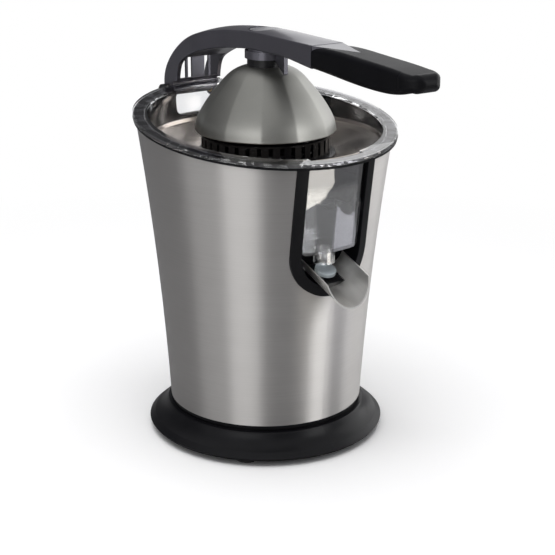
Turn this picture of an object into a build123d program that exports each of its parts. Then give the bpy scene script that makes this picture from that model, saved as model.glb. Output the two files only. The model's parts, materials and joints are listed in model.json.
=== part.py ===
from build123d import *
from math import acos, cos, pi, radians, sin, sqrt
import os

# Electric lever citrus juice press.
# All sizes are in millimetres from the body's upright axis and the surface it stands on;
# the files are written with the origin in the middle of the whole's footprint.
# +X points to the spout and the handle's end, +Z is up, and the body is symmetric about Y = 0.

# ---------------------------------------------------------------- stance and body
rim_height = 252.0          # top of the juice collector's rim, on the body's axis
rim_slope = 7.5             # degrees by which the rim runs down towards the spout
rim_radius = 102.5
rim_thickness = 2.6
reach = 700.0               # side of the blocks that trim other solids
gap = 0.3                   # everyday clearance between pieces that don't move on each other
running_fit = 0.05          # radial clearance of a shaft in its bearing

shell_bottom = 26.5         # lower edge of the steel body above the table
shell_bottom_radius = 77.3
shell_top = rim_height - 5.5            # height at which the flare is measured at the top
shell_top_radius = rim_radius - 3.3     # the rim stands a little out over the steel
shell_sag = 2.45            # how far the flare curves in, half way up
shell_wall = 0.8

collar_overlap = 5.8        # drop from the rim to the steel's upper edge
collar_proud = 1.0          # how far the collar stands out of the steel
collar_seat = 2.0           # thickness of the collar's seat under the rim
collar_skirt = 16.0         # drop from the rim to the lower edge of the collar's hidden skirt

# ---------------------------------------------------------------- base
base_lip_radius = shell_bottom_radius + 2.2
base_lip_height = shell_bottom - 5.0
base_brim_radius = shell_bottom_radius + 17.7
base_brim_height = 7.5
base_facet_radius = base_brim_radius - 2.5
base_facet_height = 12.5
base_under = 4.5            # underside of the base ring
base_mouth_radius = base_brim_radius - 5.0      # opening under the base ring, closed by the plate
base_ledge = 4.0            # width of the ledge that the plate bears on
base_wall = 2.6
plate_thickness = 2.5
spigot_height = 6.0         # base ring's spigot inside the steel body
foot_radius = 9.0
foot_circle = base_mouth_radius - 10.0          # radius on which the four feet stand
foot_stem_radius = 3.0
post_radius = 4.5           # long screw posts under the bowl housing
post_x = 31.0
post_y = 54.0
screw_radius = 1.6
screw_head_radius = 3.4
screw_head_height = 2.0
gland_radius = 5.0
gland_bore = 3.0
gland_height = 14.5

# ---------------------------------------------------------------- juice collector
bowl_radius = rim_radius - 9.5          # outside of the collector's wall, upper part
bowl_floor_radius = bowl_radius - 7.0
bowl_taper_top = rim_height - 15.5      # above this height the wall is straight
bowl_floor = rim_height - 56.0
clear_wall = 2.0
surround_inner = 27.0       # half width of the opening in the front
pocket_half = surround_inner - 1.5      # half width of the front pocket behind the window
pocket_floor = bowl_floor - 30.0
window_inset = 1.0          # window face inside the line of the steel
outlet_x = shell_top_radius - 21.2
outlet_radius = 8.2
outlet_bore = 6.5
outlet_end = pocket_floor - 10.0
chimney_radius = 14.0
chimney_top = bowl_floor + 30.0

# ---------------------------------------------------------------- sieve, basket, reamer
sieve_edge = rim_height - 13.6
sieve_wall = 0.9
sieve_bead = 1.5
sieve_low = sieve_edge - 13.4           # height of the sieve where it meets the basket
basket_radius = 50.0
basket_top = sieve_low + 16.0
basket_wall = 1.8
basket_floor = sieve_low - 6.0
basket_slots = 36
basket_slot_width = 3.2
reamer_base = basket_floor + 11.0
reamer_top = reamer_base + 51.0
reamer_radius = 38.0
reamer_skirt_radius = 45.0
reamer_ribs = 8
reamer_rib_width = 2.6
reamer_rib_height = 1.8

# ---------------------------------------------------------------- bowl housing
housing_play = 0.6          # between the collector and its housing
housing_wall = 1.8
housing_floor = 3.0
boss_radius = 11.0
boss_top = basket_floor + 3.0
boss_shoulder = bowl_floor + 8.0        # step in the boss that the upper bush stands on
boss_bore = 7.0

# ---------------------------------------------------------------- spout
surround_band = 8.0         # width of the black band round the opening
surround_outer = surround_inner + surround_band
surround_centre = bowl_floor - 29.5     # height of the centre of the round lower end
surround_proud = 1.6
surround_wall = 2.2
steel_bite = 1.5            # how far the band covers the edge of the cut steel
pivot_x = outlet_x - 12.0   # pivot of the trough
pivot_z = outlet_end - 9.0
surround_back = pivot_x - 12.0
pocket_back = surround_back + 4.0
chute_half = 19.5
chute_depth = 16.7
chute_wall = 0.9
chute_slope = 19.0          # degrees, in the open position
chute_corner_x = pivot_x + 42.0         # upper corners of the mouth
chute_corner_z = pivot_z + 2.5
chute_lip = 7.4             # how far the mouth's lowest point stands in front of its corners
chute_start = 4.5           # rear edge of the trough, along it from the pivot
chute_pin_radius = 2.0
carrier_half = 12.5
stopper_radius = 8.2
stopper_height = 3.0

# ---------------------------------------------------------------- press dome
dome_bottom = rim_height - 8.5
dome_bottom_radius = 55.0
dome_height = 49.7
dome_top = dome_bottom + dome_height
dome_crown_radius = 14.5
dome_wall = 1.5
dome_gores = 12
gore_round = 1.015          # ridge radius over gore radius
neck_radius = 14.2
neck_height = 5.8
dome_screw_radius = 2.5
washer_radius = 12.5
washer_thickness = 2.6

# ---------------------------------------------------------------- lever
hinge_x = -rim_radius - 7.5
hinge_z = rim_height + 5.5
hinge_pin_radius = 2.0
leg_half = 21.5             # outside of the fork, from the middle plane
leg_wall = 3.6
leg_inner = leg_half - leg_wall
leg_end_radius = 6.5        # rounded end of a leg round the pin
barrel_radius = 3.4         # cross tube between the legs, round the pin
web_half = 6.0              # thin bars that stand between the legs: the middle one
rib_inner = 9.9             # and the two narrow ones
rib_outer = 11.8
bar_depth = 2.0
bar_front = hinge_x + 12.0
slot_top = hinge_z + 31.5
arm_half = 14.5             # half width of the arm over the dome
boss_height = 7.5           # round boss between the arm and the dome's neck
boss_outer = 16.0
arm_boss_under = dome_top + neck_height
arm_under = arm_boss_under + boss_height
arm_top = arm_under + 13.0
arm_crown = 2.2             # how far the arm's upper side bulges in the middle
arm_lift = 0.25             # least thickness of the bulging layer
arm_arches = 10
arm_end = 78.0              # where the grip takes over
spread_start = -30.0        # the arm widens into the fork between these places
spread_end = hinge_x + 33.0
arm_edge = 1.2              # rounding along the arm's edges
grip_edge = 4.0
grip_end = arm_end + 115.0
tongue_half = 9.0           # core of the handle inside the grip
tongue_low = arm_under - 2.0
tongue_height = 8.0
tongue_end = grip_end - 25.0
fin_reach = 27.0            # fin under the arm, in front of the boss
fin_half = 1.7
cap_radius = 12.4
cap_thickness = 1.8
cap_top = arm_top + 0.9     # the cap lies a little below the crown
bracket_cheek = 5.2
bracket_half = leg_half + 1.0 + bracket_cheek
bracket_foot = hinge_z - 45.5
bracket_face = hinge_x + 5.5
bracket_root = hinge_x + 30.0
bush_radius = 4.5

notch_half = leg_half + 5.5     # opening at the back, seen through the clear collector
notch_foot = rim_height - 11.0
notch_corner = 8.0
bracket_pad_top = notch_foot - 2.0

# ---------------------------------------------------------------- drive
gear_module = 1.25
wheel_teeth = 36
pinion_teeth = 12
backlash = 0.16
pressure_angle = 20.0
press_travel = 2.5          # how far the reamer can be pressed down
gearbox_wall = 2.5
gearbox_room = 27.5         # inner radius of the gearbox's rounded ends
gearbox_ledge = 2.5         # step inside the case that the bridge lies on
gearbox_top = bowl_floor - 26.0
motor_radius = 29.0
motor_height = 64.0
motor_top = gearbox_top - 44.0
lower_wheel_z = motor_top + 5.0
lower_wheel_width = 6.0
bridge_z = lower_wheel_z + 9.0
bridge_thickness = 4.0
upper_wheel_z = bridge_z + 13.3
upper_wheel_width = 8.0
spindle_radius = 4.0
spindle_foot = bridge_z + 1.0
spindle_top = reamer_top - 19.0
spindle_hex = 9.0           # across the corners of the driving end
hex_start = reamer_base - 1.0
bush_inner = 3.0            # spindle's lower journal
bush_outer = 5.0
hub_radius = 5.0
axle_radius = 2.0
shaft_radius = 2.5
thrust_thickness = 2.0
spring_wire = 1.1
spring_radius = 8.2
spring_turns = 3.5
switch_y = 18.0
column_radius = 5.0
column_top = gearbox_top + 10.0

gear_distance = gear_module * (wheel_teeth + pinion_teeth) / 2
slope = radians(rim_slope)


# ---------------------------------------------------------------- shared shapes
def rim_plane(drop):
    """Plane parallel to the sloping rim, drop millimetres under it on the axis."""
    return Plane(origin=(0, 0, rim_height - drop), x_dir=(cos(slope), 0, -sin(slope)),
                 z_dir=(sin(slope), 0, cos(slope)))


def under_rim(drop):
    """Everything that lies under the rim by at least drop."""
    return rim_plane(drop) * Box(reach, reach, reach, align=(Align.CENTER, Align.CENTER, Align.MAX))


def rim_slice(upper, lower):
    """The layer between two drops under the rim."""
    return under_rim(upper) - under_rim(lower)


def flare_radius(z):
    """Outer radius of the steel body at height z."""
    t = (z - shell_bottom) / (shell_top - shell_bottom)
    return shell_bottom_radius + (shell_top_radius - shell_bottom_radius) * t - 4 * shell_sag * t * (1 - t)


def flared(offset, low=shell_bottom, high=rim_height + 30):
    """Solid under the flared outline of the body, moved outwards by offset."""
    bottom, middle, top = [(flare_radius(z) + offset, 0, z) for z in (low, (low + high) / 2, high)]
    side = ThreePointArc(bottom, middle, top)
    return revolve(make_face([side, *Polyline(top, (0, 0, high), (0, 0, low), bottom).edges()]), Axis.Z)


def turned(*points):
    """Solid of revolution about the body's axis from (radius, height) points."""
    return revolve(make_face(Polyline(*[(r, 0, z) for r, z in points], close=True)), Axis.Z)


def post(radius, low, high, x=0.0, y=0.0):
    """Upright cylinder."""
    return Pos(x, y, low) * Cylinder(radius, high - low, align=(Align.CENTER, Align.CENTER, Align.MIN))


def bore(radius, x=0.0, y=0.0):
    """Upright cylinder that is taller than everything, to cut holes with."""
    return post(radius, -10, reach, x, y)


def block(x0, x1, half_y, z0, z1):
    """Box that is symmetric about the middle plane."""
    return Pos((x0 + x1) / 2, 0, (z0 + z1) / 2) * Box(x1 - x0, 2 * half_y, z1 - z0)


def cross_rod(radius, x, z, y0, y1):
    """Cylinder across the body, along Y."""
    return Pos(x, (y0 + y1) / 2, z) * Rot(90, 0, 0) * Cylinder(radius, y1 - y0)


def side_plate(outline, y0, y1):
    """Plate of a given XZ outline between two Y values."""
    return Pos(0, y1, 0) * extrude(Plane.XZ * outline, y1 - y0)


def u_prism(half, x0, x1, top=rim_height + 40):
    """Prism along X whose outline is upright sides on a half round."""
    outline = Pos(0, surround_centre) * Circle(half)
    outline += Pos(0, (surround_centre + top) / 2) * Rectangle(2 * half, top - surround_centre)
    return Pos(x0, 0, 0) * extrude(Plane.YZ * outline, x1 - x0)


def rear_notch():
    """Round-cornered opening at the back, between the lever's legs and the collector."""
    height = rim_height + 40 - notch_foot
    outline = Pos(0, notch_foot + height / 2) * RectangleRounded(2 * notch_half, height, notch_corner)
    return Pos(-rim_radius - 20, 0, 0) * extrude(Plane.YZ * outline, 60)


def involute(base, radius):
    """Polar angle of an involute of the base circle, at the given radius."""
    return sqrt((radius / base) ** 2 - 1) - acos(base / radius)


def gear(teeth, z, width, turn=0.0):
    """Spur gear with involute flanks, thinned by the backlash."""
    pitch = gear_module * teeth / 2
    base = pitch * cos(radians(pressure_angle))
    root, tip = pitch - 1.2 * gear_module, pitch + 0.8 * gear_module
    half = pi / (2 * teeth) - backlash / (2 * pitch) + involute(base, pitch)
    flank = [max(base, root) + (tip - max(base, root)) * k / 3 for k in range(4)]
    rise = [(root, half)] if root < base else []
    rise += [(r, half - involute(base, max(r, base))) for r in flank]
    tooth = [(r, -a) for r, a in rise] + [(r, a) for r, a in reversed(rise)]
    points = [(r * cos(a + 2 * pi * k / teeth), r * sin(a + 2 * pi * k / teeth))
              for k in range(teeth) for r, a in tooth]
    return Pos(0, 0, z) * Rot(0, 0, turn) * extrude(make_face(Polyline(*points, close=True)), width)


def ring(outer, inner, low, high, x=0.0, y=0.0):
    """Upright tube."""
    return post(outer, low, high, x, y) - post(inner, low - 1, high + 1, x, y)


def level_rod(radius, z, back, front):
    """Round bar along X in the middle plane, from back to front."""
    return Pos((back + front) / 2, 0, z) * Rot(0, 90, 0) * Cylinder(radius, front - back)


def mirrored(solid):
    """The solid and its mirror image across the middle plane."""
    return solid + mirror(solid, Plane.XZ)


def path(*points):
    """Polyline through (x, z) points."""
    return Polyline(*[(x, z) for x, z in points])


parts = {}


# ---------------------------------------------------------------- base
def base_pieces():
    shoulder = shell_bottom_radius - 0.4
    spigot = shell_bottom_radius - shell_wall - gap
    inner = spigot - base_wall
    ledge = base_mouth_radius - base_ledge
    skirt = ThreePointArc((base_facet_radius - 2.0, base_facet_height - 2.0),
                          (base_lip_radius + 4.8, base_facet_height + 2.6),
                          (base_lip_radius + 0.7, base_lip_height - 0.5))
    upper = path((base_lip_radius + 0.7, base_lip_height - 0.5), (base_lip_radius, base_lip_height + 0.5),
                 (shoulder - 1.3, base_lip_height + 0.5), (shoulder - 1.3, shell_bottom - 2),
                 (shoulder, shell_bottom - 2), (shoulder, shell_bottom), (spigot, shell_bottom),
                 (spigot, shell_bottom + spigot_height), (inner, shell_bottom + spigot_height),
                 (inner, base_lip_height - 2), (inner + 4, base_lip_height - 2.5),
                 (ledge, base_facet_height - 2.3), (ledge, base_under + plate_thickness),
                 (base_mouth_radius, base_under + plate_thickness), (base_mouth_radius, base_under),
                 (base_brim_radius - 1.5, base_under), (base_brim_radius, base_brim_height - 1),
                 (base_facet_radius - 2.0, base_facet_height - 2.0))
    face = Plane.XZ * make_face([skirt, *upper.edges()])
    hole = Pos(-base_lip_radius, 0, gland_height) * Rot(0, 90, 0) * Cylinder(gland_radius, 60)
    parts["base_ring"] = revolve(face, Axis.Z) - hole

    outside = Pos(-base_lip_radius - 10, 0, gland_height) * Rot(0, 90, 0)
    nipple = outside * (Cylinder(gland_radius, 9) + Pos(0, 0, -5) * Cylinder(gland_radius + 1.6, 2.4))
    parts["cable_gland"] = nipple - outside * Cylinder(gland_bore, 40)

    plate_top = base_under + plate_thickness
    plate = post(base_mouth_radius - gap, base_under, plate_top)
    screws = Part()
    for x in (-post_x, post_x):
        for y in (-post_y, post_y):
            plate -= post(screw_radius + 0.1, 0, 10, x, y)
            screw = post(screw_radius, base_under, plate_top + 12, x, y)
            screw += post(screw_head_radius, base_under - screw_head_height, base_under, x, y)
            screws += screw - Pos(x, y, base_under - screw_head_height) * Box(4.4, 0.9, 1.6)
    feet = Part()
    for k in range(4):
        turn = Rot(0, 0, 45 + 90 * k)
        plate -= turn * post(foot_stem_radius + 0.1, 0, 10, foot_circle)
        foot = chamfer(post(foot_radius, 0, base_under, foot_circle).edges().group_by(Axis.Z)[0], 0.8)
        foot += post(foot_stem_radius, base_under, plate_top + 0.1, foot_circle)
        foot += post(foot_stem_radius + 0.8, plate_top + 0.1, plate_top + 2.0, foot_circle)
        feet += turn * foot
    vents = Part()
    for k in range(7):
        vent = Rot(0, 0, 90) * SlotOverall(44, 3)
        vents += Pos(-24 + 8 * k, 0, base_under + 1) * extrude(vent, 10, both=True)
    parts["base_plate"] = plate - vents
    parts["base_screws"] = screws
    parts["rubber_feet"] = feet


# ---------------------------------------------------------------- steel body and collar
def body_pieces():
    shell = (flared(0) - flared(-shell_wall)) & under_rim(collar_overlap)
    shell -= u_prism(surround_outer - steel_bite, 0, reach)
    shell -= rear_notch()
    for z in bracket_screw_heights():
        shell -= level_rod(screw_radius + 0.2, z, bracket_root - 25, bracket_root + 5)
    parts["steel_shell"] = shell

    seat_top = rim_thickness
    seat_low = rim_thickness + collar_seat
    seat_inner = bowl_radius + housing_play
    seat = rim_slice(seat_top, seat_low) & (bore(rim_radius - 0.5) - bore(seat_inner))
    band = rim_slice(seat_low - 1, collar_overlap) & (flared(collar_proud) - flared(-shell_wall - 1.2))
    sleeve = flared(-shell_wall - 0.2) - flared(-shell_wall - 1.2)
    skirt = rim_slice(collar_overlap - 0.6, collar_skirt) & sleeve
    collar = seat + band + skirt
    collar -= u_prism(surround_inner, 0, reach) & flared(-window_inset + gap)
    collar -= u_prism(surround_outer + gap, 0, reach) & under_rim(seat_low)
    parts["top_collar"] = collar - rear_notch()


# ---------------------------------------------------------------- front surround and recess
def surround_piece():
    front = rim_thickness + collar_seat
    band = u_prism(surround_outer, 40, reach) - u_prism(surround_inner, 0, reach)
    band = band & (flared(surround_proud) - flared(-shell_wall - 1.2))
    steel = (flared(0.1) - flared(-shell_wall - 0.1)) - u_prism(surround_outer - steel_bite - 0.2, 0, reach)
    band -= steel
    liner_outer = surround_inner + surround_wall
    liner = u_prism(liner_outer, surround_back, 120) - u_prism(surround_inner, 0, reach)
    liner += u_prism(liner_outer, surround_back, surround_back + surround_wall, bowl_floor - 8)
    liner = liner & flared(0)
    whole = (band + liner) & under_rim(front)
    whole -= bowl_wall(housing_play, bowl_floor - housing_play)
    pivot_hole = cross_rod(chute_pin_radius, pivot_x, pivot_z, -reach, reach)
    parts["front_surround"] = whole - pivot_hole - chute_frame() * chute_bulk(0.8)


# ---------------------------------------------------------------- juice collector
def bowl_wall(offset, floor):
    """Solid inside the collector's round wall, moved outwards by offset."""
    top = bowl_radius + offset
    return turned((0, floor), (bowl_floor_radius + offset - 4, floor),
                  (bowl_floor_radius + offset, floor + 6),
                  (top, bowl_taper_top), (top, rim_height + 30), (0, rim_height + 30))


def pocket(half, back, floor, inset, corner):
    """Solid of the pocket behind the front window."""
    height = rim_height + 20 - floor
    outline = Pos(0, floor + height / 2) * RectangleRounded(2 * half, height, corner)
    return Pos(back, 0, 0) * extrude(Plane.YZ * outline, 60) & flared(-inset)


def collector_piece():
    outer = bowl_wall(0, bowl_floor) + pocket(pocket_half, pocket_back, pocket_floor, window_inset, 4.0)
    outer += post(outlet_radius, outlet_end, pocket_floor + 3, outlet_x)
    inner = bowl_wall(-clear_wall, bowl_floor + clear_wall)
    inner += pocket(pocket_half - clear_wall, pocket_back + clear_wall, pocket_floor + clear_wall,
                    window_inset + clear_wall, 2.5)
    inner += post(outlet_bore, 100, pocket_floor + 6, outlet_x)
    flange = rim_slice(0, rim_thickness) & bore(rim_radius)
    shell = (outer & under_rim(0)) + flange
    shell -= inner
    shell += post(chimney_radius, bowl_floor, chimney_top)
    parts["juice_collector"] = shell - bore(chimney_radius - clear_wall)


# ---------------------------------------------------------------- sieve, basket, reamer
def strainer_pieces():
    edge = bowl_radius - clear_wall - 0.25
    lip = basket_radius + 5
    funnel = turned((basket_radius + gap, sieve_low - sieve_wall), (lip, sieve_low - sieve_wall),
                    (edge - sieve_bead - 2, sieve_edge - 4), (edge - sieve_bead, sieve_edge - sieve_bead),
                    (edge, sieve_edge - 1.2), (edge, sieve_edge), (edge - sieve_bead, sieve_edge),
                    (edge - sieve_bead - 1.4, sieve_edge - 2.6), (lip, sieve_low),
                    (basket_radius + gap, sieve_low))
    parts["sieve"] = funnel

    inner = basket_radius - basket_wall
    basket = turned((chimney_radius + gap, basket_floor), (basket_radius, basket_floor),
                    (basket_radius, sieve_low), (lip - 0.5, sieve_low), (lip - 0.5, sieve_low + 1.4),
                    (basket_radius, sieve_low + 1.4), (basket_radius, basket_top - 0.6),
                    (basket_radius - 0.6, basket_top), (inner, basket_top),
                    (inner, basket_floor + basket_wall),
                    (chimney_radius + gap + 1.8, basket_floor + basket_wall),
                    (chimney_radius + gap + 1.8, basket_floor + 5), (chimney_radius + gap, basket_floor + 5))
    slot = Pos(basket_radius - 1, 0, (sieve_low + basket_top) / 2 + 1)
    slot = slot * Box(6, basket_slot_width, basket_top - sieve_low - 6)
    floor_slot = Pos((basket_radius + chimney_radius) / 2 + 2, 0, basket_floor + 1)
    floor_slot = floor_slot * extrude(SlotOverall(24, 2.0), 6, both=True)
    slots = Part() + [Rot(0, 0, 360 * k / basket_slots) * slot for k in range(basket_slots)]
    slots += [Rot(0, 0, 360 * (k + 0.5) / 24) * floor_slot for k in range(24)]
    parts["strainer_basket"] = basket - slots


def cone_line(offset):
    """Outline of the reamer's cone from the skirt to the tip, moved outwards by offset."""
    base, tip, wide = reamer_base, reamer_top, reamer_radius
    points = [(wide + offset, base + 2.2), (wide * 0.86 + offset, base + 12),
              (wide * 0.62 + offset, base + 28),
              (wide * 0.33 + offset, base + 42), (wide * 0.10 + offset * 0.7, tip - 1.6 + offset * 0.6)]
    return Spline(*points), points


def cone_solid(offset):
    """Solid cone of revolution under cone_line."""
    line, points = cone_line(offset)
    low, high = points[0], points[-1]
    rest = path(high, (0, high[1] + 1.2), (0, low[1]), low)
    return revolve(Plane.XZ * make_face([line, *rest.edges()]), Axis.Z)


def reamer_piece():
    cone = cone_solid(0)
    ribs = cone_solid(reamer_rib_height)
    blades = Part()
    for k in range(reamer_ribs):
        blades += Rot(0, 0, 360 * k / reamer_ribs) * Pos(25, 0, 260) * Box(48, reamer_rib_width, 80)
    cone += ribs & blades & under_plane(reamer_top)
    cone += turned((0, reamer_base), (reamer_skirt_radius, reamer_base),
                   (reamer_skirt_radius + 0.8, reamer_base + 1),
                   (reamer_skirt_radius, reamer_base + 2.2), (0, reamer_base + 2.2))
    hollow = turned((7.6, reamer_base - 1), (34.5, reamer_base - 1), (33.5, reamer_base + 4),
                    (27.0, reamer_base + 15), (17.5, reamer_base + 29), (7.6, reamer_base + 38))
    hexagon = RegularPolygon(spindle_hex / 2 + 0.1, 6)
    socket = Pos(0, 0, reamer_base - 1) * extrude(hexagon, spindle_top - reamer_base + 1.4)
    parts["reamer_cone"] = cone - hollow - socket


def under_plane(z):
    """Everything below a level plane."""
    return Pos(0, 0, z) * Box(reach, reach, reach, align=(Align.CENTER, Align.CENTER, Align.MAX))


# ---------------------------------------------------------------- bowl housing
def housing_piece():
    floor_top = bowl_floor - housing_play
    inner = bowl_wall(housing_play, floor_top)
    outer = bowl_wall(housing_play + housing_wall, floor_top - housing_floor)
    shell = (outer & under_rim(rim_thickness + collar_seat)) - inner
    shell += post(boss_radius, floor_top - housing_floor, boss_top)
    for x in (-post_x, post_x):
        for y in (-post_y, post_y):
            shell += post(post_radius, base_under + plate_thickness, floor_top - 1, x, y)
    for x, y in column_spots():
        shell += post(column_radius, column_top, floor_top - 1, x, y)
    pad = block(hinge_x, bracket_root - 2, 9, bracket_foot + 2, bracket_pad_top - 1)
    shell += (pad & flared(-shell_wall - 0.2)) - bowl_wall(housing_play + 0.2, floor_top)
    shell -= post(boss_bore, boss_shoulder, 300)
    shell -= bore(spindle_radius + 0.8)
    shell -= u_prism(surround_inner + surround_wall + gap, surround_back - gap, reach)
    shell -= rear_notch()
    for x in (-post_x, post_x):
        for y in (-post_y, post_y):
            shell -= post(screw_radius, 0, base_under + plate_thickness + 12, x, y)
    for x, y in column_spots():
        shell -= post(screw_radius, 100, column_top + 10, x, y)
    for z in bracket_screw_heights():
        shell -= level_rod(screw_radius, z, bracket_root - 30, bracket_root)
    parts["bowl_housing"] = shell


def bracket_screw_heights():
    """Heights of the two screws that hold the hinge bracket."""
    return bracket_foot + 7, bracket_foot + 21


# ---------------------------------------------------------------- hinge bracket
def bracket_pieces():
    nose = Plane.XZ * (Pos(hinge_x, hinge_z) * Circle(leg_end_radius))
    flank = [(hinge_x - leg_end_radius, hinge_z), (hinge_x + 3, bracket_foot + 4),
             (hinge_x + 8, bracket_foot), (bracket_root, bracket_foot), (bracket_root, hinge_z - 8),
             (hinge_x + leg_end_radius, hinge_z + 1)]
    cheek = nose + Plane.XZ * make_face(Polyline(*flank, close=True))
    cheek = Pos(0, bracket_half, 0) * extrude(cheek, bracket_cheek)
    pad = block(bracket_face, bracket_root, bracket_half - 1, bracket_foot, bracket_pad_top)
    pad = fillet(pad.edges().filter_by(Axis.Y).group_by(Axis.X)[0], 3)
    bracket = mirrored(cheek) + pad
    bracket -= flared(0)
    bracket -= block(hinge_x, 0, 60, hinge_z + 1, hinge_z + 40) & bore(rim_radius + 0.5)
    bracket -= cross_rod(hinge_pin_radius, hinge_x, hinge_z, -reach, reach)
    seat = bracket_face + screw_head_height
    tip = bracket_face + 11.5
    screws = Part()
    for z in bracket_screw_heights():
        bracket -= level_rod(screw_head_radius + gap, z, bracket_face - 5, seat)
        bracket -= level_rod(screw_radius + 0.1, z, tip - 30, tip + 30)
        screws += level_rod(screw_radius, z, seat, tip)
        screws += level_rod(screw_head_radius, z, bracket_face, seat)
    parts["hinge_bracket"] = bracket
    parts["bracket_screws"] = screws
    pin = cross_rod(hinge_pin_radius, hinge_x, hinge_z, -bracket_half - 0.8, bracket_half + 0.8)
    parts["hinge_pin"] = pin


# ---------------------------------------------------------------- spout trough and stopper
def chute_frame():
    """Frame of the trough: origin on its pivot, X down along it, Z up out of it."""
    fall = radians(chute_slope)
    return Plane(origin=(pivot_x, 0, pivot_z), x_dir=(cos(fall), 0, -sin(fall)),
                 z_dir=(sin(fall), 0, cos(fall)))


def chute_bulk(offset, start=chute_start):
    """Solid under the trough's half round, moved outwards by offset, in the trough's own frame."""
    fall = radians(chute_slope)
    corner_x = (chute_corner_x - pivot_x) * cos(fall) - (chute_corner_z - pivot_z) * sin(fall)
    rim = (chute_corner_x - pivot_x) * sin(fall) + (chute_corner_z - pivot_z) * cos(fall)
    radius = (chute_half ** 2 + chute_depth ** 2) / (2 * chute_depth)
    centre = rim - chute_depth + radius
    lip_x = corner_x + chute_lip * cos(fall) + chute_half * sin(fall)
    tube = Pos(40, 0, centre) * Rot(0, 90, 0) * Cylinder(radius + offset, 90)
    upper = rim + max(offset, 0)
    side = path((start, upper), (corner_x, upper), (lip_x, centre - radius - offset), (lip_x, -20),
                (start, -20), (start, upper))
    return tube & side_plate(make_face(side), -40, 40)


def chute_pieces():
    frame = chute_frame()
    trough = chute_bulk(0) - chute_bulk(-chute_wall, chute_start - 5)
    trough -= Pos(0, 0, 60) * Box(300, 300, 80)
    along = outlet_x - pivot_x
    top = outlet_end - pivot_z - gap
    seat = top - stopper_height
    deck = seat - 2
    carrier = chute_bulk(-chute_wall, chute_start - 0.5) & Pos(4, 0, deck - 20) * Box(40, 60, 40)
    carrier += Pos(chute_start / 2, 0, deck / 2 - 0.5) * Box(chute_start, 20, deck + 1)
    carrier += cross_rod(4.0, 0, 0, -carrier_half, carrier_half)
    carrier -= cross_rod(chute_pin_radius + running_fit, 0, 0, -30, 30)
    carrier += post(stopper_radius - 3, deck - 1, seat, along)
    for k in range(5):
        carrier -= Pos(16.5 + 1.7 * k, 0, deck) * Box(0.8, 30, 1.6)
    stopper = chamfer(post(stopper_radius, seat, top, along).edges().group_by(Axis.Z)[-1], 0.5)
    parts["spout_trough"] = frame * trough
    parts["trough_carrier"] = frame * carrier
    parts["outlet_stopper"] = frame * stopper
    pin_half = surround_inner - 5.6
    parts["trough_pin"] = cross_rod(chute_pin_radius, pivot_x, pivot_z, -pin_half, pin_half)


# ---------------------------------------------------------------- lever
def arm_top_line():
    """Upper and rear outline of the lever arm's flanks, from the grip to the hinge."""
    return Spline((arm_end, arm_top - 0.2), (40, arm_top), (6.4, arm_top), (-28, arm_top - 2.3),
                  (0.52 * hinge_x, arm_top - 6.7), (hinge_x + 32.8, arm_top - 13),
                  (hinge_x + 18.7, arm_top - 20.2), (hinge_x + 4, hinge_z + 29.7),
                  (hinge_x - 4.5, hinge_z + 18.6), (hinge_x - leg_end_radius, hinge_z + 8),
                  (hinge_x - leg_end_radius, hinge_z))


def arm_under_line(lift=0.0):
    """Lower outline of the lever arm, from the hinge to the grip, raised by lift."""
    points = [(hinge_x + 12.8, hinge_z + 11.5), (hinge_x + 14.2, hinge_z + 18.5),
              (hinge_x + 17.5, hinge_z + 25.5), (hinge_x + 26, arm_under - 17.6),
              (hinge_x + 35.4, arm_under - 13.3), (0.54 * hinge_x, arm_under - 8.5),
              (-44.5, arm_under - 5.3), (-21, arm_under - 2.1), (0, arm_under - 0.2), (20, arm_under),
              (47, arm_under - 0.3), (arm_end - 16, arm_under - 1.9), (arm_end, arm_under - 3.7)]
    return Spline(*[(x, z + lift) for x, z in points])


def arm_width(x):
    """Half width of the arm, which widens smoothly into the fork."""
    t = min(max((spread_start - x) / (spread_start - spread_end), 0), 1)
    return arm_half + (leg_half - arm_half) * t * t * (3 - 2 * t)


def arm_plan():
    """Upright prism over the arm's outline as seen from above."""
    spots = [spread_start + (spread_end - spread_start) * k / 4 for k in range(5)]
    spread = Spline(*[(x, arm_width(x)) for x in spots], tangents=((-1, 0), (-1, 0)))
    rear = Polyline((spread_end, leg_half), (hinge_x - 20, leg_half), (hinge_x - 20, 0), (arm_end, 0),
                    (arm_end, arm_half))
    half = make_face([Line((arm_end, arm_half), (spread_start, arm_half)), spread, *rear.edges()])
    return mirrored(Pos(0, 0, dome_bottom) * extrude(half, 100))


def arm_crown_layer():
    """Bulging layer on the arm, lofted through arches that stand square to its upper outline."""
    line = arm_top_line()
    arches = []
    for k in range(arm_arches + 1):
        share = k / arm_arches
        spot, lean = line @ share, line % share
        width = arm_width(spot.X)
        half = width + 2
        crown = arm_crown * (1 - (1 - 2 * min(share / 0.9, 1)) ** 4)
        side = arm_lift - crown * ((half / width) ** 2 - 1)
        station = Plane(origin=(spot.X, 0, spot.Y), x_dir=(0, -1, 0), z_dir=(lean.X, 0, lean.Y))
        arch = ThreePointArc((-half, side), (0, crown + arm_lift + 0.01), (half, side))
        walls = Polyline((half, side), (half, -4), (-half, -4), (-half, side))
        arches.append(station * make_face([arch, *walls.edges()]))
    return loft(arches)


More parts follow.
